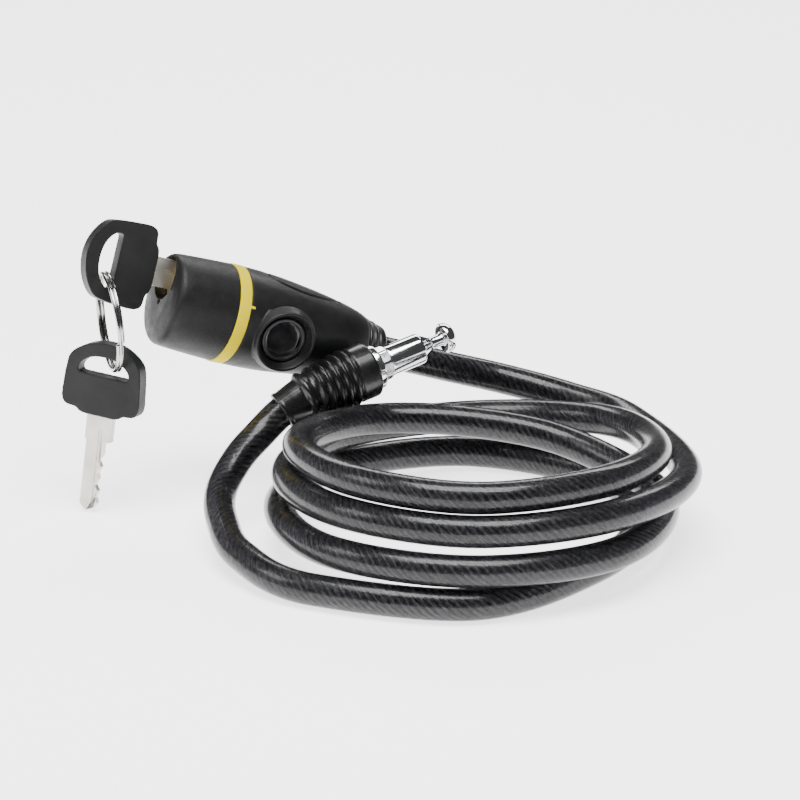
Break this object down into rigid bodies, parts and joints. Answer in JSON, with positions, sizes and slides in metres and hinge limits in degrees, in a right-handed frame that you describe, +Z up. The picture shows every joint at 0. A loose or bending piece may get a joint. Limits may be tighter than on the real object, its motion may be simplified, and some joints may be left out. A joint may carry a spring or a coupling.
{
  "type": "coiling cable lock",
  "caption": "Coiling key cable lock: round plastic head with a side socket, sheathed steel cable in a coil, ribbed boot with a steel locking pin, and keys on a split ring.",
  "frame": {"origin": "bottom centre of the box round the lock head, keys and pin end, on the surface the coil lies on", "axes": "+X from the keys towards the pin's tip, +Y away from the front, +Z up"},
  "size_m": [0.2011, 0.1495, 0.0933],
  "materials": {
    "black_plastic": "fine texture",
    "yellow_plastic": "satin",
    "collar_plastic": "satin",
    "zinc": "die-cast",
    "bush_steel": "black",
    "steel": "ground",
    "brass": "machined",
    "wafer_brass": "stamped",
    "cable_sheath": "smoky clear sheath over steel strand",
    "boot_rubber": "glossy",
    "chrome": "polished",
    "nickel": "nickel plated",
    "bow_plastic": "satin",
    "ring_steel": "plated"
  },
  "bodies": {
    "lock": {"key_cap": "black_plastic", "yellow_band": "yellow_plastic", "rear_shell": "black_plastic", "cable_collar": "collar_plastic", "inner_housing": "zinc", "socket_bush": "bush_steel", "cable_crimp": "zinc", "anchor_pin": "steel", "cable_head_tail": "cable_sheath", "cable_coil_upper": "cable_sheath", "cable_coil_lower": "cable_sheath", "cable_pin_tail": "cable_sheath", "pin_boot": "boot_rubber", "pin_ferrule": "chrome", "locking_pin": "chrome"},
    "plug": {"cylinder_plug": "brass", "plug_clip": "steel", "plug_cam": "zinc"},
    "key": {"key_blade": "nickel", "key_bow": "bow_plastic"},
    "ring": {"split_ring": "ring_steel"},
    "spare": {"spare_key_blade": "nickel", "spare_key_bow": "bow_plastic"},
    "bolt": {"lock_bolt": "steel"},
    "wafer_1": {"wafer_1": "wafer_brass"},
    "wafer_2": {"wafer_2": "wafer_brass"},
    "wafer_3": {"wafer_3": "wafer_brass"},
    "wafer_4": {"wafer_4": "wafer_brass"},
    "wafer_5": {"wafer_5": "wafer_brass"}
  },
  "joints": [
    {"name": "plug_turn", "type": "hinge", "parent": "lock", "child": "plug", "pos_m": [-0.02838, -0.00159, 0.07233], "axis": [0.8802, 0.3291, -0.342], "range_deg": [0, 90]},
    {"name": "key_pull", "type": "slide", "parent": "plug", "child": "key", "axis": [-0.8802, -0.3291, 0.342], "range_m": [0, 0.024]},
    {"name": "ring_swing", "type": "hinge", "parent": "key", "child": "ring", "pos_m": [-0.0478, -0.0097, 0.0765], "axis": [-0.4153, 0.8828, -0.2194], "range_deg": [-12, 12]},
    {"name": "spare_swing", "type": "hinge", "parent": "ring", "child": "spare", "pos_m": [-0.0445, -0.016, 0.0465], "axis": [0.3982, 0.9066, -0.1394], "range_deg": [-10, 9]},
    {"name": "bolt_slide", "type": "slide", "parent": "lock", "child": "bolt", "axis": [-0.3353, -0.0788, -0.9388], "range_m": [0, 0.003]},
    {"name": "wafer_1_slide", "type": "slide", "parent": "plug", "child": "wafer_1", "axis": [-0.2298, -0.3351, -0.9137], "range_m": [0, 0.0007]},
    {"name": "wafer_2_slide", "type": "slide", "parent": "plug", "child": "wafer_2", "axis": [0.2298, 0.3351, 0.9137], "range_m": [0, 0.0007]},
    {"name": "wafer_3_slide", "type": "slide", "parent": "plug", "child": "wafer_3", "axis": [-0.2298, -0.3351, -0.9137], "range_m": [0, 0.0007]},
    {"name": "wafer_4_slide", "type": "slide", "parent": "plug", "child": "wafer_4", "axis": [0.2298, 0.3351, 0.9137], "range_m": [0, 0.0007]},
    {"name": "wafer_5_slide", "type": "slide", "parent": "plug", "child": "wafer_5", "axis": [-0.2298, -0.3351, -0.9137], "range_m": [0, 0.0007]}
  ],
  "couplings": [
    {"joint": "bolt_slide", "follows": "plug_turn", "m_per_rad": 0.0019},
    {"joint": "wafer_1_slide", "follows": "key_pull", "ratio": 0.029},
    {"joint": "wafer_2_slide", "follows": "key_pull", "ratio": 0.029},
    {"joint": "wafer_3_slide", "follows": "key_pull", "ratio": 0.029},
    {"joint": "wafer_4_slide", "follows": "key_pull", "ratio": 0.029},
    {"joint": "wafer_5_slide", "follows": "key_pull", "ratio": 0.029}
  ]
}
